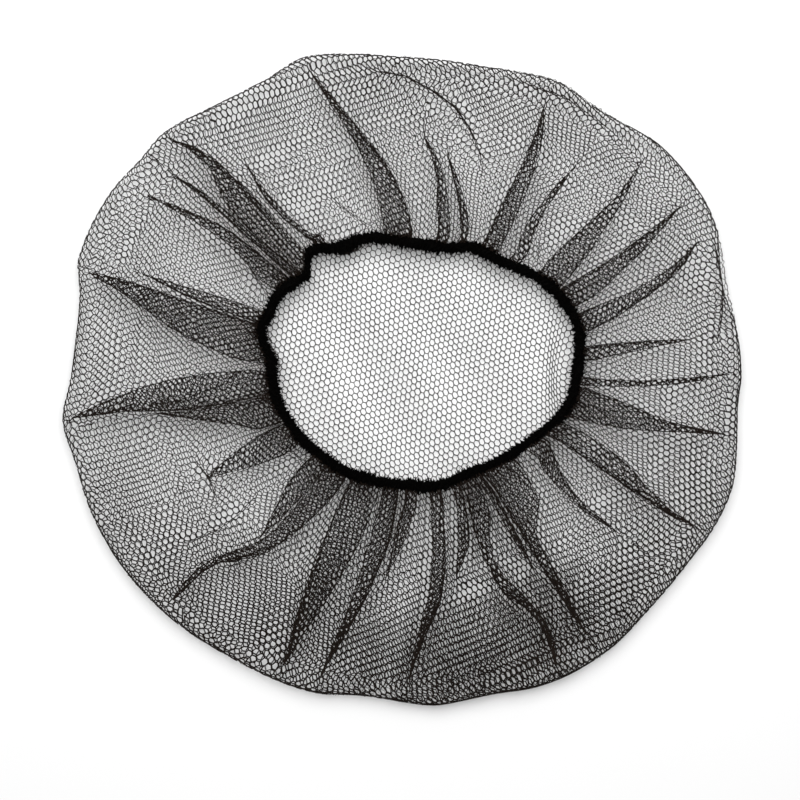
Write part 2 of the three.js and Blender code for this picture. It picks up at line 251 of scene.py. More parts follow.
def skirtBase(angle, radius):  # the skirt's height before its pleats
    outer = outline(angle) - form["rimBulge"]
    inner = bandLine(angle) + bandSize["width"] / 2
    inward = np.clip((outer - radius) / (outer - inner), 0, 1)
    ends = form["rimTop"] + (bandHeight(angle) - form["rimTop"]) * smooth(inward)
    swell = form["puff"]
    for tall, waves, start in form["puffWaves"]:
        swell = swell + tall * np.sin(np.radians(waves * angle + start))
    return ends + swell * np.sin(math.pi * inward)


def toPoint(angle, radius, height):  # as x, y and z
    t = np.radians(angle)
    return np.stack([radius * np.cos(t), radius * np.sin(t), height], axis=-1)


def crownPoint(angle, reach):  # a place in the lower layer, this far along the net
    radius, turn, height = overRim(angle, reach, form["rimBottom"])
    x, y = radius * np.cos(np.radians(angle)), radius * np.sin(np.radians(angle))
    waver = 0.5 + 0.5 * wander(x, y, form["crownLiftLength"], 3)
    lift = form["crownLift"] * waver * (turn == 0)
    return toPoint(angle, radius, height + lift)


# The netting's pattern

lattice = {
    "stepA": (2.68, 20), "stepB": (3.17, 134),  # length and direction of the mesh's two steps
    "steps": 82, "reach": 192,  # how many steps each way, and how far out the strands are kept
    "grow": 0.000375, "growTo": 235, "spread": 2.4e-6,  # how its scale grows to one side, and outward
    "warp": 0.9, "warpLength": 64, "swayLength": 45,
    # each layer's scale, where its mesh lies against the others', and how zigzag the chains are
    "crown": {"scale": 1.0, "shift": (0, 0), "zigzag": 0.95, "jitter": 0.08, "sway": 0.15},
    "shadePatch": {"scale": 0.99, "shift": (-0.5, 1.3), "zigzag": 0.95, "jitter": 0.08, "sway": 0.3},
    "skirt": {"scale": 0.99, "shift": (1.35, 0.45), "zigzag": 0.75, "jitter": 0.12, "sway": 0.45},
}


def netPattern(look, key):  # the net laid flat: knots, and strands as pairs of knots
    def step(length, turn):
        return np.array([math.cos(math.radians(turn)), math.sin(math.radians(turn))]) * length
    a, b = step(*lattice["stepA"]), step(*lattice["stepB"])
    across = np.array([b[1], -b[0]]) / np.hypot(*b)
    count = lattice["steps"]
    i, j = np.meshgrid(np.arange(-count, count), np.arange(-count, count), indexing="ij")
    cell = i[..., None] * a + j[..., None] * b
    one, two = cell + (2 * a + b) / 3, cell + (a + 2 * b) / 3
    flatter = across * ((one - two)[0, 0] @ across) * (1 - look["zigzag"]) / 2
    knots = np.stack([one - flatter, two + flatter], axis=2).reshape(-1, 2)
    place = knots @ (1, 1j)
    grow = lattice["grow"] * np.exp(-1j * math.radians(lattice["growTo"]))
    place = place * (1 + lattice["spread"] * np.abs(place) ** 2) + grow / 2 * place ** 2
    knots = np.stack([place.real, place.imag], axis=1)
    index = np.arange(len(knots)).reshape(2 * count, 2 * count, 2)
    strands = [
        (index[:, :, 0], index[:, :, 1], 0),  # chain, one way
        (index[:, 1:, 0], index[:, :-1, 1], 1),  # chain, the other way
        (index[:-1, :, 0], index[1:, :, 1], 2),  # link between two chains
    ]
    pairs = np.concatenate([np.stack([p.ravel(), q.ravel()], axis=1) for p, q, _ in strands])
    kind = np.concatenate([np.full(p.size, k) for p, _, k in strands])
    rng = np.random.default_rng(key)
    x, y = knots.T.copy()
    for axis in (0, 1):
        knots[:, axis] += lattice["warp"] * wander(x, y, lattice["warpLength"], seed + axis)
        knots[:, axis] += look["sway"] * wander(x, y, lattice["swayLength"], key + 1 + axis)
    knots = knots * look["scale"] + look["shift"] + rng.normal(0, look["jitter"], knots.shape)
    near = np.hypot(*knots[pairs].mean(axis=1).T) < lattice["reach"]
    return knots, pairs[near], kind[near]


def cut(ends, values, data):  # splits strands where a value changes sign between their ends
    f0, f1 = values
    crossing = (f0 > 0) != (f1 > 0)
    share = f0[crossing] / (f0[crossing] - f1[crossing])
    start, end = ends[crossing, 0], ends[crossing, 1]
    middle = start + (end - start) * share[:, None]
    pieces = [ends[~crossing], np.stack([start, middle], axis=1), np.stack([middle, end], axis=1)]
    return np.concatenate(pieces), np.concatenate([data[~crossing], data[crossing], data[crossing]])


def trim(ends, field, data):  # keeps the part of each strand where field is above 0
    ends, data = cut(ends, (field(ends[:, 0]), field(ends[:, 1])), data)
    keep = field(ends.mean(axis=1)) > 0
    return ends[keep], data[keep]


def polarOf(points):
    return np.stack([
        np.degrees(np.arctan2(points[..., 1], points[..., 0])) % 360,
        np.hypot(points[..., 0], points[..., 1]),
    ], axis=-1)


def unwrapped(ends, about):  # the same strands, turned by whole turns to lie nearest this angle
    ends = ends.copy()
    ends[..., 0] -= np.round((ends[..., 0].mean(axis=1, keepdims=True) - about) / 360) * 360
    return ends


# Meshes from arrays

def meshPiece(name, points, faceGroups):
    counts = np.concatenate([np.full(len(g), g.shape[1]) for g in faceGroups])
    corners = np.concatenate([g.ravel() for g in faceGroups])
    mesh = bpy.data.meshes.new(name)
    mesh.vertices.add(len(points))
    mesh.vertices.foreach_set("co", np.asarray(points, np.float32).ravel())
    mesh.loops.add(len(corners))
    mesh.loops.foreach_set("vertex_index", corners.astype(np.int32))
    mesh.polygons.add(len(counts))
    mesh.polygons.foreach_set("loop_start", (np.cumsum(counts) - counts).astype(np.int32))
    mesh.polygons.foreach_set("loop_total", counts.astype(np.int32))
    mesh.polygons.foreach_set("use_smooth", np.full(len(counts), True))
    mesh.update(calc_edges=True)
    piece = bpy.data.objects.new(name, mesh)
    bpy.context.scene.collection.objects.link(piece)
    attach(piece, "root")
    return piece


strand = {
    "shortest": 0.02, "past": 0.6,  # how far it runs past its ends, in radii
    "uneven": 0.10, "thinnest": 0.7, "thickest": 1.35,  # how much the yarn's width varies
}


def strandMesh(name, ends, width):  # a closed three-sided strand of its own width for each two ends
    along = ends[:, 1] - ends[:, 0]
    length = np.linalg.norm(along, axis=1)
    ends, width, along, length = (x[length > strand["shortest"]] for x in (ends, width, along, length))
    along = along / length[:, None]
    side = np.cross(along, (0, 0, 1))
    side /= np.maximum(np.linalg.norm(side, axis=1, keepdims=True), 1e-6)
    up = np.cross(side, along)
    size = (width / math.sqrt(3))[:, None]
    past = along * size * strand["past"]
    corners = [
        at + size * (side * math.cos(turn) + up * math.sin(turn))
        for at in (ends[:, 0] - past, ends[:, 1] + past)
        for turn in np.radians((90, 210, 330))
    ]
    points = np.stack(corners, axis=1).reshape(-1, 3) + (*gatherCentre, 0)
    first = (np.arange(len(ends)) * 6)[:, None]
    sides = np.concatenate([first + f for f in ((0, 3, 4, 1), (1, 4, 5, 2), (2, 5, 3, 0))])
    caps = np.concatenate([first + f for f in ((0, 1, 2), (3, 5, 4))])
    return meshPiece(name, points * mm, [sides, caps])


# Materials

class Socket:  # a node's output, so that shader maths can be written as sums and products
    def __init__(self, tree, out):
        self.tree, self.out = tree, out

    def node(self, kind, sockets, out=0, **settings):  # any other node, its settings made first
        node = self.tree.nodes.new(kind)
        for name, value in settings.items():
            setattr(node, name, value)
        for name, value in sockets.items():
            if isinstance(value, Socket):
                self.tree.links.new(value.out, node.inputs[name])
            else:
                node.inputs[name].default_value = value
        return Socket(self.tree, node.outputs[out])

    def maths(self, operation, other, swap=False):
        pair = {1: self, 0: other} if swap else {0: self, 1: other}
        return self.node("ShaderNodeMath", pair, operation=operation)

    def __add__(self, other):
        return self.maths("ADD", other)

    def __sub__(self, other):
        return self.maths("SUBTRACT", other)

    def __rsub__(self, other):
        return self.maths("SUBTRACT", other, swap=True)

    def __mul__(self, other):
        return self.maths("MULTIPLY", other)


def newMaterial(name, constants):  # with its shader's constant values, and a place to start from
    material = bpy.data.materials.new(name)
    material.use_nodes = True
    tree = material.node_tree
    shader = tree.nodes["Principled BSDF"]
    for socket, value in constants.items():
        shader.inputs[socket].default_value = value
    place = tree.nodes.new("ShaderNodeTexCoord")
    return material, tree, shader, Socket(tree, place.outputs["Object"])


yarn = {
    "dark": (0.0027, 0.0016, 0.0010, 1), "pale": (0.0185, 0.0108, 0.0066, 1),
    "coarse": 45, "coarseShare": 0.7, "fine": 1900, "fineShare": 0.5, "darker": 0.1,
    "rough": 0.75, "smoother": 0.35, "bumpOf": "fine", "bump": 0.35, "bumpDepth": 0.00005,
    "constants": {"Specular IOR Level": 0.12},
}


def clothMaterial(name, look):  # coarse and fine noise in the colour, and the fine one in the sheen
    material, tree, shader, place = newMaterial(name, look["constants"])
    coarse, fine = (
        place.node("ShaderNodeTexNoise", {"Vector": place, "Scale": look[size], "Detail": detail})
        for size, detail in (("coarse", 3), ("fine", 2))
    )
    shade = coarse * look["coarseShare"] + fine * look["fineShare"] - look["darker"]
    colour = shade.node(
        "ShaderNodeMix", {0: shade, 6: look["dark"], 7: look["pale"]}, out=2, data_type="RGBA")
    tree.links.new(colour.out, shader.inputs["Base Color"])
    tree.links.new((look["rough"] - fine * look["smoother"]).out, shader.inputs["Roughness"])
    height = {"fine": fine, "shade": shade}[look["bumpOf"]]
    bump = height.node("ShaderNodeBump", {
        "Height": height, "Strength": look["bump"], "Distance": look["bumpDepth"]})
    tree.links.new(bump.out, shader.inputs["Normal"])
    return material


# The crown: the net's lower layer, seen through the head opening, and its turn up over the rim

crown = {
    "width": 0.41, "linkShare": 0.85,
    "knotShare": 0.06, "knotSize": 0.5, "knotReach": 150,
    # the yarn's width past the opening, behind and in front, thicker in front as painted shade for the
    # shadow on the floor there, and where it changes over
    "drawn": 0.28, "frontShadeWidth": 0.58, "drawnFrom": 6, "frontFrom": 15, "frontOver": 120,
    # a part drawn together: its place, half width, length, how far, and how soon it fades
    "crowded": (77, 0, 8, 30, 6.0, 25),
}
# a patch of net laid double under the front, painted shade standing in for the floor's shadow there:
# its middle's angle and radius, and half its size both ways
shadePatch = {
    "place": (288, 148, 41, 46), "width": 0.58, "linkShare": 0.85, "height": 2.2,
    "waver": 0.12, "waverLength": 24, "edge": 0.9, "least": 0.15,
}


def polarStrands(knots, pairs):  # strands' ends as angle and radius, without a jump at 360 degrees
    ends = polarOf(knots[pairs])
    ends[:, 1, 0] -= np.round((ends[:, 1, 0] - ends[:, 0, 0]) / 360) * 360
    return ends


def strandWidths(look, kind, key):  # uneven, and thinner where a strand links two chains
    rng = np.random.default_rng(key)
    uneven = rng.normal(1, strand["uneven"], len(kind)).clip(strand["thinnest"], strand["thickest"])
    return look["width"] * uneven * np.where(kind == 2, look["linkShare"], 1)


def knotMesh(name, places, size):  # small lumps where the yarn is drawn tight, as short fat strands
    rng = np.random.default_rng(len(places))
    turn = rng.random(len(places)) * math.pi
    reach = np.stack([np.cos(turn), np.sin(turn), np.zeros(len(places))], axis=1) * size * 0.45
    ends = np.stack([places - reach, places + reach], axis=1)
    return strandMesh(name, ends, np.full(len(places), size))


def netPiece(piece, material, node="net"):  # stands in for this CAD solid, which it hides, and gets this material
    piece.data.materials.append(material)
    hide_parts(node)


netYarn = clothMaterial("net yarn", yarn)


def crowded(knots):  # the knots with those at the crowded part drawn in
    x, y, half, length, depth, fade = crown["crowded"]
    across, along = knots[:, 0] - x, knots[:, 1] - y
    pull = depth * smooth((across + half) / (2 * half)) * np.exp(-np.maximum(across - half, 0) / fade)
    return knots - (pull * np.exp(-(along / length) ** 2))[:, None] * (1, 0)


def drawnShare(places):  # how much of its width the crown's yarn has at these places, thicker toward the front as painted shade
    turn, radius = polarOf(places[:, :2]).T
    # painted shade: the yarn grows thicker toward the front, standing in for the floor's shadow there
    front = smooth((-places[:, 1] - crown["frontFrom"]) / crown["frontOver"])
    drawn = crown["drawn"] + (crown["frontShadeWidth"] - crown["drawn"]) * front
    past = smooth((radius - bandLine(turn)) / crown["drawnFrom"])
    return (crown["width"] * (1 - past) + drawn * past) / crown["width"]


knots, pairs, kind = netPattern(lattice["crown"], seed)
knots = crowded(knots)
ends, widths = polarStrands(knots, pairs), strandWidths(crown, kind, seed)


def insideRim(p):  # above 0 where the net hasn't yet come to the fold at the rim's middle
    return outline(p[..., 0]) - form["rimBulge"] + form["rimArc"] - p[..., 1]


ends, widths = trim(ends, insideRim, widths)
points = crownPoint(ends[..., 0], ends[..., 1])
middles = points.mean(axis=1)
widths = widths * drawnShare(middles)
leftHalf = middles[:, 0] < 0
for name, half in (("crown_left", leftHalf), ("crown_right", ~leftHalf)):
    netPiece(strandMesh(name, points[half], widths[half]), netYarn)
rng = np.random.default_rng(seed + 5)
lumps = polarOf(knots[np.hypot(*knots.T) < crown["knotReach"]])
lumps = lumps[rng.random(len(lumps)) < crown["knotShare"]]
netPiece(knotMesh("crown_knots", crownPoint(lumps[:, 0], lumps[:, 1]), crown["knotSize"]), netYarn)
print("crown:", len(points), "strands")


def shadePatchShare(places):  # 1 in the middle of the doubled patch of painted shade, 0 at its edge
    turn, radius = polarOf(places[:, :2]).T
    middle, out, halfTurn, halfOut = shadePatch["place"]
    away = np.hypot((turn - middle) / halfTurn, (radius - out) / halfOut)
    waver = shadePatch["waver"] * wander(places[:, 0], places[:, 1], shadePatch["waverLength"], 8)
    return smooth((1 - away + waver) / shadePatch["edge"])


# painted shade: a second, darkening layer of net in front, where the floor beneath lies in shadow
knots, pairs, kind = netPattern(lattice["shadePatch"], seed + 70)
ends, widths = polarStrands(knots, pairs), strandWidths(shadePatch, kind, seed + 71)
points = crownPoint(ends[..., 0], ends[..., 1])
share = shadePatchShare(points.mean(axis=1))
points[..., 2] += shadePatch["height"] * share[:, None]
kept = share > shadePatch["least"]
netPiece(strandMesh("crown_shade_patch", points[kept], (widths * share)[kept]), netYarn)
print("slack:", kept.sum(), "strands")


# The skirt: the net's upper layer, gathered into pleats, each panel running from one to the next

skirt = {
    "width": 0.495, "linkShare": 0.9, "inward": 0.24,  # how much thinner it is by the elastic
    # how the net is drawn together beside a pleat, at its folds, and past its tip
    "squeeze": 0.7, "squeezeReach": 4.0, "squeezeWidth": 5.0, "relax": 1.4,
    "bunch": 1.9, "bunchReach": 0.5, "trail": 5, "trailFrom": 3,
    # how far it goes under the elastic, and how it is gathered beside it
    "under": 1.6, "cutUnder": 8, "tuckFrom": 0.5, "tuckOver": 3, "tuckLow": 0.5, "tuckFlat": 0.8,
    "ruffle": 0.5, "rufflePeriod": 3.6, "ruffleReach": 8,
    "gather": 0.36, "gatherWaves": ((1, 100, 0), (0.7, 67, 40)),
    # how much fuller the yarn is in a pleat, and at its foot, where the thicker yarn is partly real
    # gathering and partly painted shade beside the elastic
    "pleatFull": 0.11, "foot": 0.75, "footReach": 4.5,
    # how full it is toward the rim, every 30 degrees, partly the net's own fullness and partly painted
    # shade, fullest at the front where the floor beneath lies in shadow, and where that begins: sooner
    # if it's fuller
    "full": (1.28, 1.08, 1.18, 1.28, 1.17, 1.05, 1.16, 1.25, 1.5, 1.48, 1.56, 1.35),
    "fullFrom": 0.66, "fullSooner": 0.8, "fullFirst": 0.2,
    "panelRadius": 120, "nearPanel": 25, "foldMark": 10,
}
fullnessAndShade = roundCurve(skirt["full"])


def squeezedAngle(p, angle, radius):  # draws the net together on either side of each pleat
    shown = angle.copy()
    reach = np.degrees(skirt["squeezeReach"] / radius)
    perDegree = np.radians(1) * radius
    nearby, bunched = [], []
    for k in range(p - 2, p + 4):  # the panel's own two pleats, and two more each way
        a, b, width = edgesAt(k, radius)
        amount = skirt["squeeze"] * reach * (1 - np.exp(-np.maximum(width, 0) / skirt["squeezeWidth"]))
        nearby.append((b if k <= p else a, amount, 1 if k <= p else -1))
        lean, *stations = pleats[k % len(pleats)]
        past = radius - stations[-1][0]  # how far past the pleat's tip
        folded = lean == (-1 if k <= p else 1)
        share = np.exp(-np.maximum(past, 0) / skirt["trail"])
        if not folded:
            share = share * smooth(past / skirt["trailFrom"] + 1)
        bunched.append((a if k <= p else b, skirt["bunch"] * share / perDegree))
    for _ in range(8):  # steps to the angle that the net is drawn to
        value, slope = shown - angle, np.ones_like(shown)
        for edge, amount in bunched:
            t = (shown - edge) * perDegree / skirt["bunchReach"]
            value = value + amount * np.tanh(t)
            steep = amount * perDegree / skirt["bunchReach"]
            slope = slope + steep / np.cosh(np.clip(t, -20, 20)) ** 2
        for edge, amount, side in nearby:
            t = (shown - edge) * side / reach
            outside, inside = np.exp(-np.maximum(t, 0)), np.exp(skirt["relax"] * np.minimum(t, 0))
            value = value - side * amount * (outside + (1 - inside) / skirt["relax"])
            slope = slope + amount / reach * outside * inside
        shown = shown - value / slope
    return shown


def skirtPoint(p, angle, radius, turn, level, ownPleat):  # a place in the layer of this level
    height = skirtBase(angle, radius)
    overEdge = form["rimMiddle"] + (form["rimTop"] - form["rimMiddle"]) * np.cos(turn)
    height = np.where(turn > 0, overEdge, height)
    fade = np.cos(turn)
    fromBand = radius - bandLine(angle)
    tucked = 1 - smooth((fromBand - skirt["tuckFrom"]) / skirt["tuckOver"])  # 1 inside the elastic
    perDegree = np.radians(1) * radius
    for k in (p, p + 1):
        a, b, width = edgesAt(k, radius)
        away = np.abs(angle - (a + b) / 2) * perDegree / (np.maximum(width, 0.1) / 2 + ridge["margin"])
        size = np.clip(width / ridge["fullWidth"], 0, 1) ** ridge["widthPower"]
        size = size * smooth(width / ridge["slimWidth"])
        tall = ridge["lift"] * size * np.cos(np.clip(away, 0, 1) * math.pi / 2) ** 2
        height = height + tall * (ridge["share"] + ridge["perLayer"] * level) * fade * (1 - tucked)
        gap = level * form["layerGap"] * np.clip(width / form["layerGapWidth"], 0, 1)
        height = height + gap * fade * ownPleat[k - p] * (1 - skirt["tuckFlat"] * tucked)
    nearBand = np.exp(-np.maximum(fromBand, 0) / skirt["ruffleReach"])
    ruffle = skirt["ruffle"] * nearBand * np.sin(2 * math.pi * angle / skirt["rufflePeriod"])
    height = height + ruffle * (1 - tucked) - skirt["tuckLow"] * tucked
    gathers = sum(share * np.sin(np.radians(waves * angle + start))
                  for share, waves, start in skirt["gatherWaves"])
    return toPoint(angle + skirt["gather"] * nearBand * gathers, radius, height)


def pastBand(p, under=skirt["under"]):  # above 0 from this far inside the elastic's middle outward
    return p[..., 1] - bandLine(p[..., 0]) + under


def panelSides(p):  # a panel's two pleats, which side it meets them on, that edge, if it's on top
    for k, side, edge in ((p, 1, 0), (p + 1, -1, 1)):
        yield k, side, edge, pleats[k % len(pleats)][0] == -side


def panelStrands(p, ends, widths):  # one panel's strands, cut and folded at its two pleats
    first, last = (edgesAt(k, skirt["panelRadius"]) for k in (p, p + 1))
    ends = unwrapped(ends, (first[0] + last[1]) / 2)
    middle = ends.mean(axis=1)
    a, b = edgesAt(p, middle[:, 1])[0], edgesAt(p + 1, middle[:, 1])[1]
    near = (middle[:, 0] > a - skirt["nearPanel"]) & (middle[:, 0] < b + skirt["nearPanel"])
    ends, widths = ends[near], widths[near]
    radius, turn, _ = overRim(ends[..., 0], ends[..., 1], 0.0)
    shown = squeezedAngle(p, ends[..., 0], radius)
    panel = np.stack([shown, radius, turn], axis=-1)
    for k, side, edge, onTop in panelSides(p):
        middle = panel.mean(axis=1)
        live = edgesAt(k, middle[:, 1])[2] > form["slimmestPleat"]

        def past(points, edge=edge, k=k, side=side):  # above 0 on the panel's own side of the edge
            return (points[..., 0] - edgesAt(k, points[..., 1])[edge]) * side
        whole = ~live & (past(middle) > 0)
        inner, innerWidths = panel[live], widths[live]
        inner, innerWidths = cut(inner, (past(inner[:, 0]), past(inner[:, 1])), innerWidths)
        middle = inner.mean(axis=1)
        depth = past(middle)
        parts = [panel[whole], inner[depth > 0]]
        partWidths = [widths[whole], innerWidths[depth > 0]]
        if onTop:  # the part past the fold comes back under the layer on top
            pleatWidth = np.degrees(edgesAt(k, middle[:, 1])[2] / middle[:, 1])
            back = (depth <= 0) & (depth > -pleatWidth)
            folded = inner[back].copy()
            folded[..., 0] = 2 * edgesAt(k, folded[..., 1])[edge] - folded[..., 0]
            folded[..., 2] += skirt["foldMark"] * (1 + edge)  # marked by a turn past any real one
            parts.append(folded)
            partWidths.append(innerWidths[back])
        panel, widths = np.concatenate(parts), np.concatenate(partWidths)
    return trim(panel, pastBand, widths)


def panelPoints(p, panel):  # a panel's strands on the skirt, each layer of a pleat over the last
    angle, radius = panel[..., 0], panel[..., 1]
    mark = np.floor(panel[..., 2] / skirt["foldMark"] + 1e-6)
    turn = panel[..., 2] - skirt["foldMark"] * mark
    level = np.zeros_like(angle)
    ownPleat = []
    for k, side, edge, onTop in panelSides(p):
        a, b, width = edgesAt(k, radius)
        inward = (angle - (a, b)[edge]) * side * (np.radians(1) * radius)  # mm in from the edge
        rounding = 0.5 * (1 - np.sqrt(1 - (1 - np.clip(inward / form["foldRound"], 0, 1)) ** 2))
        value = 0 * inward
        if onTop:
            value = (2 - rounding) * smooth((width + form["ramp"] - inward) / form["ramp"])
        value = np.where(mark == 1 + edge, 1 + rounding, value)
        ownPleat.append(np.where(value > 0, 1.0, 0.0))
        level = np.where(value > 0, value, level)
    return skirtPoint(p, angle, radius, turn, level, ownPleat)


knots, pairs, kind = netPattern(lattice["skirt"], seed + 40)
ends, widths = polarStrands(knots, pairs), strandWidths(skirt, kind, seed + 1)
ends, widths = trim(ends, insideRim, widths)
ends, widths = trim(ends, lambda place: pastBand(place, skirt["cutUnder"]), widths)
allPoints, allWidths = [], []
for p in range(len(pleats)):
    panel, panelWidths = panelStrands(p, ends, widths)
    allPoints.append(panelPoints(p, panel))
    allWidths.append(panelWidths)
points, widths = np.concatenate(allPoints), np.concatenate(allWidths)


foldLine = {
    "width": 0.33, "strands": 2, "spread": 0.22, "spreadLength": 15,
    "step": 1.5, "past": 3, "foot": 1.5,
}


def foldStrands():  # yarn lying along each pleat's two folds, and a little past its tip
    rng = np.random.default_rng(seed + 17)
    strands, widths = [], []
    for k, (lean, *stations) in enumerate(pleats):
        foot, tip = bandLine(stations[0][1]) + foldLine["foot"], stations[-1][0]
        radius = np.arange(foot, tip + foldLine["past"], foldLine["step"])
        radius = radius[radius < outline(stations[-1][1]) - form["rimBulge"]]
        a, b, _ = edgesAt(k, radius)
        for edge in (a, b):
            for key in rng.integers(0, 1000, foldLine["strands"]):
                aside = foldLine["spread"] * wander(radius, 0, foldLine["spreadLength"], key)
                line = skirtPoint(k if lean < 0 else k - 1, edge + np.degrees(aside / radius), radius,
                                  0 * radius, 1 + 0 * radius, (1, 1))
                fade = np.exp(-np.maximum(radius - tip, 0) / foldLine["past"])
                strands.append(np.stack([line[:-1], line[1:]], axis=1))
                widths.append(foldLine["width"] * fade[:-1])
    return np.concatenate(strands), np.concatenate(widths)


foldPoints, foldWidths = foldStrands()
points, widths = np.concatenate([points, foldPoints]), np.concatenate([widths, foldWidths])


tucks = {"lift": 0.5, "half": 0.45, "reach": 6.0}
# Small tucks that don't run straight out: how much each takes in, and its line's angles and radii
tuckLines = [
    (3.0, (69, 108), (71.3, 117), (75, 127), (79.5, 137), (84.8, 144), (90, 150.5), (97, 155)),
    (1.6, (40.9, 87), (43, 91), (45, 95)),
    (2.0, (97.5, 80), (104.3, 78.5), (108.8, 87), (113, 100)),
    (1.8, (144, 97), (146.5, 88), (148.9, 80)),
    (2.4, (201.5, 112), (204, 110.5), (206.6, 109.5), (210, 110), (213.5, 111.8)),
    (2.0, (215.6, 140), (217.5, 133), (219, 120), (219.4, 110), (219, 100), (217.5, 90)),
    (2.4, (6.2, 156.5), (11, 161), (16, 165), (25, 169.5)),
    (1.8, (48, 161), (60, 161), (72, 159)),
    (1.6, (212, 67.5), (216, 66.5), (220, 66)),
    (1.4, (228.8, 128), (228.2, 124), (227.2, 120)),
    (1.6, (126, 84), (121, 83), (118, 84)),
]


def drawnTogether(points):  # the net drawn together along each tuck, in a small ridge
    at = points.reshape(-1, 3).copy()
    for width, *stations in tuckLines:
        turn, radius = np.array(stations, float).T
        corners = toPoint(turn, radius, np.zeros(len(turn)))[:, :2]
        along = np.concatenate([[0], np.cumsum(np.hypot(*np.diff(corners, axis=0).T))])
        steps = np.linspace(0, along[-1], int(along[-1] * 2) + 3)
        line = np.stack([np.interp(steps, along, corners[:, i]) for i in (0, 1)], axis=1)
        padded = np.pad(line, ((easeReach, easeReach), (0, 0)), mode="reflect", reflect_type="odd")
        line = np.stack([eased(row) for row in padded.T], axis=1)
        margin = tucks["reach"] * 2.5
        box = (at[:, :2] > line.min(axis=0) - margin) & (at[:, :2] < line.max(axis=0) + margin)
        picked = np.flatnonzero(box.all(axis=1))
        gap = at[picked, None, :2] - line[None]
        nearest = (gap ** 2).sum(axis=-1).argmin(axis=1)
        ahead = np.gradient(line, axis=0)[nearest]
        ahead /= np.linalg.norm(ahead, axis=1, keepdims=True)
        aside = np.stack([-ahead[:, 1], ahead[:, 0]], axis=1)
        offset = np.einsum("ij,ij->i", at[picked, :2] - line[nearest], aside)
        take = width * np.sqrt(np.sin(math.pi * nearest / (len(line) - 1)).clip(0, 1))
        low, high = offset - take, offset + take
        for _ in range(20):  # halving the range that the drawn place lies in
            shown = (low + high) / 2
            reached = np.exp(-(shown / tucks["reach"]) ** 2)
            pulled = shown + take * np.tanh(shown / tucks["half"]) * reached
            low, high = np.where(pulled < offset, shown, low), np.where(pulled < offset, high, shown)
        at[picked, :2] += (shown - offset)[:, None] * aside
        at[picked, 2] += tucks["lift"] * take * np.exp(-(shown / tucks["half"]) ** 2)
    return at.reshape(points.shape)


def inPleat(places):  # where a place lies between a pleat's two folds
    turn, radius = places.T
    inside = np.zeros(len(turn), bool)
    for k in range(len(pleats)):
        a, b, width = edgesAt(k, radius)
        away = np.abs((turn - (a + b) / 2 + 180) % 360 - 180)
        inside |= (away < (b - a) / 2) & (width > form["slimmestPleat"])
    return inside


points = drawnTogether(points)
places = polarOf(points.mean(axis=1))
fromBand = places[:, 1] - bandLine(places[:, 0])
outward = fromBand / (outline(places[:, 0]) - bandLine(places[:, 0]))
# partly painted shade: thicker yarn toward the rim, most at the front, darkens the skirt where the
# floor beneath is shadowed
fuller = fullnessAndShade(places[:, 0]) - 1
start = np.maximum(skirt["fullFrom"] - skirt["fullSooner"] * fuller, skirt["fullFirst"])
widths = widths * (1 + fuller * smooth((outward - start) / (1 - start)))
widths = widths * (1 - skirt["inward"] * (1 - smooth(outward)))
# at a pleat's foot the yarn is thicker: partly real gathering, partly painted shade beside the elastic
footGatherAndShade = np.exp(-np.maximum(fromBand, 0) / skirt["footReach"])
widths = widths * (1 + inPleat(places) * (skirt["pleatFull"] + skirt["foot"] * footGatherAndShade))
for i in range(3):
    third = (places[:, 0] >= 120 * i) & (places[:, 0] < 120 * i + 120)
    netPiece(strandMesh(f"skirt_{i + 1}", points[third], widths[third]), netYarn)
print("skirt:", len(points), "strands")


# The rim: the drawn-up line of netting where the crown turns up into the skirt

rim = {"width": 0.23, "segments": 700, "inside": 0.3, "zigzag": 0.32, "stray": 0.22, "strayUp": 0.4}


def loopMesh(name, points, width):  # one closed line of yarn through these points
    ends = np.stack([points, np.roll(points, -1, axis=0)], axis=1)
    return strandMesh(name, ends, np.full(len(points), width))


rng = np.random.default_rng(seed + 3)
turns = np.arange(rim["segments"]) * 360 / rim["segments"]
weave = rim["zigzag"] * np.where(np.arange(rim["segments"]) % 2, 1, -1)
weave = weave + rng.normal(0, rim["stray"], len(weave))
height = form["rimMiddle"] + rng.normal(0, rim["strayUp"], len(weave))
line = toPoint(turns, outline(turns) - rim["inside"] + weave, height)
netPiece(loopMesh("rim_line", line, rim["width"]), netYarn)
print("rim line:", len(line), "strands")


# The elastic edge

elastic = {
    "segments": 250, "sides": 8, "cuts": 4, "out": -0.42, "aroundReach": 2.2,
    "ruffle": 1.1, "ruffles": 231, "ruffleShare": 0.4, "rippleShare": 0.7,
    "lean": 2.2, "bend": 2, "rough": 1.6, "swell": 0.4, "flat": 0.6,
    # wave length and key of each waviness in its surface
    "waves": {"bend": (12, 5), "ripple": (2.6, 17), "lump": (5.5, 29), "crumb": (1.7, 37),
              "swell": (16, 41), "join": (2.2, 23)},
    "joinAngle": 116.5, "joinReach": 4.5, "joinExtra": 2.6, "joinShare": 0.8, "joinWaver": 0.35,
}
stitches = {"width": 0.30, "turns": 210, "perTurn": 8, "out": 0.08}
fibres = {  # with tufts, the shorter and thicker ones
    "number": 12500, "tufts": 0.4, "tuft": 0.34, "tuftReach": 1.0, "width": 0.17, "reach": 2.0,
    "root": -0.25, "strayDegrees": 0.5, "strayAround": 0.3,
}
cover = {
    "dark": (0.0004, 0.00035, 0.0003, 1), "pale": (0.0022, 0.0019, 0.0017, 1),
    "coarse": 300, "coarseShare": 0.6, "fine": 2600, "fineShare": 0.8, "darker": 0.25,
    "rough": 0.9, "smoother": 0.4, "bumpOf": "shade", "bump": 0.6, "bumpDepth": 0.0002,
    "constants": {"Specular IOR Level": 0.02},
}
bandCover = clothMaterial("elastic cover", cover)


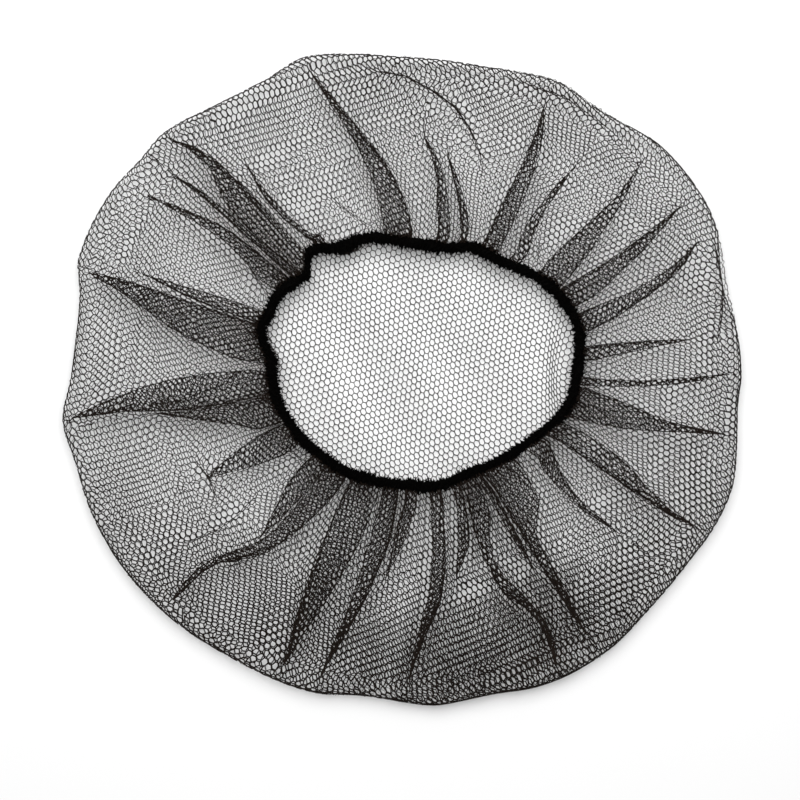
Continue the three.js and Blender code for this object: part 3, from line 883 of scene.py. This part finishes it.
def alongBand(wave, angle, around=0):  # one of the elastic's wavinesses, from about -1 to 1
    length, key = elastic["waves"][wave]
    x, y, _ = toPoint(angle, bandLine(angle), 0 * angle).T
    return wander(x.T, y.T, length, key, around * elastic["aroundReach"])


def joinSize(angle):  # how much fuller the elastic is, on its inner side, where its ends are joined
    away = ((angle - elastic["joinAngle"] + 180) % 360 - 180) / elastic["joinReach"]
    share = elastic["joinShare"] + elastic["joinWaver"] * alongBand("join", angle)
    return elastic["joinExtra"] * np.exp(-away ** 4) * share


def bandPoint(angle, around, out=0.0):  # a point on the elastic's surface, or this far out from it
    folds = elastic["lean"] * np.cos(around) + elastic["bend"] * alongBand("bend", angle)
    folds = np.sin(np.radians(angle * elastic["ruffles"]) + folds)
    ripple = elastic["ruffleShare"] * folds
    ripple = elastic["ruffle"] * (ripple + elastic["rippleShare"] * alongBand("ripple", angle, around))
    lumps = alongBand("lump", angle, around) * alongBand("crumb", angle, around)
    ripple = ripple + elastic["rough"] * lumps + elastic["swell"] * alongBand("swell", angle)
    wide = bandSize["width"] / 2 + elastic["out"] + ripple + out
    wide = wide + joinSize(angle) * np.maximum(-np.cos(around), 0)
    tall = bandSize["thickness"] / 2 + (elastic["out"] + ripple + out) * elastic["flat"]
    radius, height = bandLine(angle) + wide * np.cos(around), bandHeight(angle) + tall * np.sin(around)
    return toPoint(angle, radius, height)


def bandPiece(piece):
    netPiece(piece, bandCover, "elastic_edge")


ringRadius = 0.08  # of the torus that the cover is shaped from, in metres
bpy.ops.object.select_all(action="DESELECT")
bpy.ops.mesh.primitive_torus_add(
    major_segments=elastic["segments"], minor_segments=elastic["sides"],
    major_radius=ringRadius, minor_radius=0.002)
band = bpy.context.object
band.name = "elastic_edge_cover"
bpy.ops.object.mode_set(mode="EDIT")
bpy.ops.mesh.select_all(action="SELECT")
bpy.ops.mesh.subdivide(number_cuts=elastic["cuts"])
bpy.ops.object.mode_set(mode="OBJECT")
at = np.zeros(len(band.data.vertices) * 3, np.float32)
band.data.vertices.foreach_get("co", at)
at = at.reshape(-1, 3)
around = np.arctan2(at[:, 2], np.hypot(at[:, 0], at[:, 1]) - ringRadius)
at = bandPoint(np.degrees(np.arctan2(at[:, 1], at[:, 0])) % 360, around) + (*gatherCentre, 0)
band.data.vertices.foreach_set("co", (at * mm).astype(np.float32).ravel())
band.data.update()
bpy.ops.object.shade_smooth()
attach(band, "root")
bandPiece(band)

number = stitches["turns"] * stitches["perTurn"]
turns, around = np.arange(number) * 360 / number, np.arange(number) * 2 * math.pi / stitches["perTurn"]
line = bandPoint(turns, around, stitches["out"])
bandPiece(loopMesh("elastic_edge_stitches", line, stitches["width"]))

number = fibres["number"]
rng = np.random.default_rng(seed + 9)
turns, sides = rng.random(number) * 360, rng.random(number) * 2 * math.pi
sides = np.where(np.sin(sides) < -0.5, -sides, sides)  # none straight below
isTuft = rng.random(number) < fibres["tufts"]
reach = np.where(isTuft, fibres["tuftReach"], fibres["reach"]) * rng.random(number) ** 1.5
start = bandPoint(turns, sides, fibres["root"])
turns = turns + rng.normal(0, fibres["strayDegrees"], number)
end = bandPoint(turns, sides + rng.normal(0, fibres["strayAround"], number), reach)
bandPiece(strandMesh("elastic_edge_fibres", np.stack([start, end], axis=1),
                     np.where(isTuft, fibres["tuft"], fibres["width"])))


loopYarn = {
    "width": 0.22, "corners": 7, "root": 0.5, "least": 0.35, "lean": 0.4, "narrow": 0.5, "across": 0.7,
    # where ends of the net show inside the elastic: middle angle, half width, reach, number
    "zones": ((113, 9, 2.6, 60), (3, 10, 1.0, 30), (167, 9, 2.4, 60), (62, 8, 0.9, 14),
              (230, 16, 0.9, 26)),
}


def netLoops():  # small loops of the net's own yarn along the elastic's inner side
    rng = np.random.default_rng(seed + 13)
    loops = []
    for middle, half, reach, number in loopYarn["zones"]:
        turn = middle + rng.normal(0, half * 0.5, number)
        out = reach * (loopYarn["least"] + (1 - loopYarn["least"]) * rng.random(number))
        lean = rng.normal(0, loopYarn["lean"], number)
        spread = loopYarn["narrow"] + (1 - loopYarn["narrow"]) * rng.random(number)
        row = []
        for k in np.linspace(0, math.pi, loopYarn["corners"]):
            aside = out * (lean * math.sin(k) - spread * math.cos(k) * loopYarn["across"])
            degrees = aside / np.radians(1) / bandLine(turn)
            inner = bandLine(turn) - bandSize["width"] / 2 + loopYarn["root"] - out * math.sin(k)
            row.append(toPoint(turn + degrees, inner, bandHeight(turn) + lean * math.sin(k)))
        corners = np.stack(row, axis=1)
        loops.append(np.stack([corners[:, :-1], corners[:, 1:]], axis=2).reshape(-1, 2, 3))
    return np.concatenate(loops)


loops = netLoops()
netPiece(strandMesh("net_loops", loops, np.full(len(loops), loopYarn["width"])), netYarn)
print("elastic edge:", len(band.data.polygons), "faces")


# The floor, the light and the camera

stageLook = {
    "floor": (0.84, 0.84, 0.84, 1), "floorSize": 4, "grain": 900.0, "grainLighter": 1.01,
    "world": (1, 1, 1, 1), "worldStrength": 0.46,
    "lightPlace": (-0.03, 0.50, 1.08), "lightPower": 18.1, "lightSize": 1.4,
    "lens": 85, "cameraPlace": (-1.05, -10.4, 952),
}
bpy.ops.mesh.primitive_plane_add(size=stageLook["floorSize"])
floor = bpy.context.object
floor.name = "floor"
floorMaterial, tree, shader, place = newMaterial("floor", {"Roughness": 0.9, "Specular IOR Level": 0.1})
grain = place.node("ShaderNodeTexNoise", {"Vector": place, "Scale": stageLook["grain"], "Detail": 2})
lighter = tuple(c * stageLook["grainLighter"] for c in stageLook["floor"][:3]) + (1,)
tone = grain.node(
    "ShaderNodeMix", {0: grain, 6: stageLook["floor"], 7: lighter}, out=2, data_type="RGBA")
tree.links.new(tone.out, shader.inputs["Base Color"])
floor.data.materials.append(floorMaterial)
floor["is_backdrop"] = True

world = bpy.data.worlds.new("studio")
world.use_nodes = True
background = world.node_tree.nodes["Background"]
background.inputs["Color"].default_value = stageLook["world"]
background.inputs["Strength"].default_value = stageLook["worldStrength"]
bpy.context.scene.world = world
bpy.ops.object.light_add(type="AREA", location=stageLook["lightPlace"])
key = bpy.context.object
key.data.energy = stageLook["lightPower"]
key.data.shape = "DISK"
key.data.size = stageLook["lightSize"]
key.visible_camera = False
key.rotation_euler = Vector(stageLook["lightPlace"]).to_track_quat("Z", "Y").to_euler()

cameraPlace = [value * mm for value in stageLook["cameraPlace"]]
bpy.ops.object.camera_add(location=cameraPlace, rotation=(0, 0, 0))
camera = bpy.context.object
camera.data.lens = stageLook["lens"]
bpy.context.scene.camera = camera
bpy.context.scene.view_settings.view_transform = "Standard"
print("floor, light and camera")


def plain(value):
    if isinstance(value, (int, float)):
        return float(value)
    return [plain(v) for v in value]


{"cad": plain(cadBounds), "visual": plain(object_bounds())}
